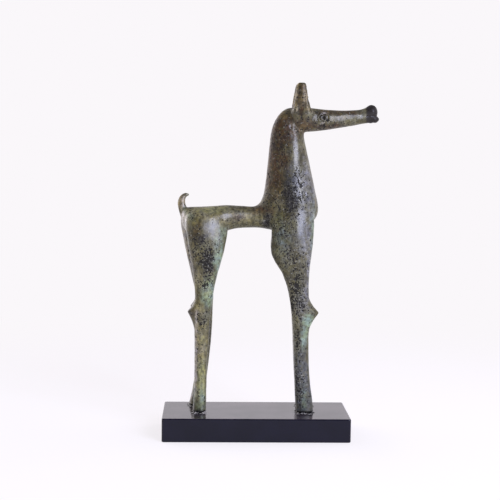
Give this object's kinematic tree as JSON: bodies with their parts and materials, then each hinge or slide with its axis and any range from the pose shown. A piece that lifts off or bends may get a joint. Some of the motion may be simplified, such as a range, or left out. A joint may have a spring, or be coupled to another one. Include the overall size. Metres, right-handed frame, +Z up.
{
  "type": "horse statuette on plinth",
  "caption": "Slender standing bronze horse in the geometric style, with a long tubular muzzle, pricked ears and short upturned tail, on a rectangular black stone plinth.",
  "frame": {"origin": "middle of the plinth's flat underside", "axes": "+Z up out of the plinth; +X along the plinth, from the tail to the muzzle; +Y from the side of the horse that the picture shows to its far side"},
  "size_m": [0.1494, 0.055, 0.2468],
  "materials": {
    "bronze": "dark olive-brown patina with pale green in the low places, semi-gloss",
    "stone": "polished black"
  },
  "bodies": {
    "root": {"horse": "bronze", "plinth": "stone"}
  },
  "joints": []
}
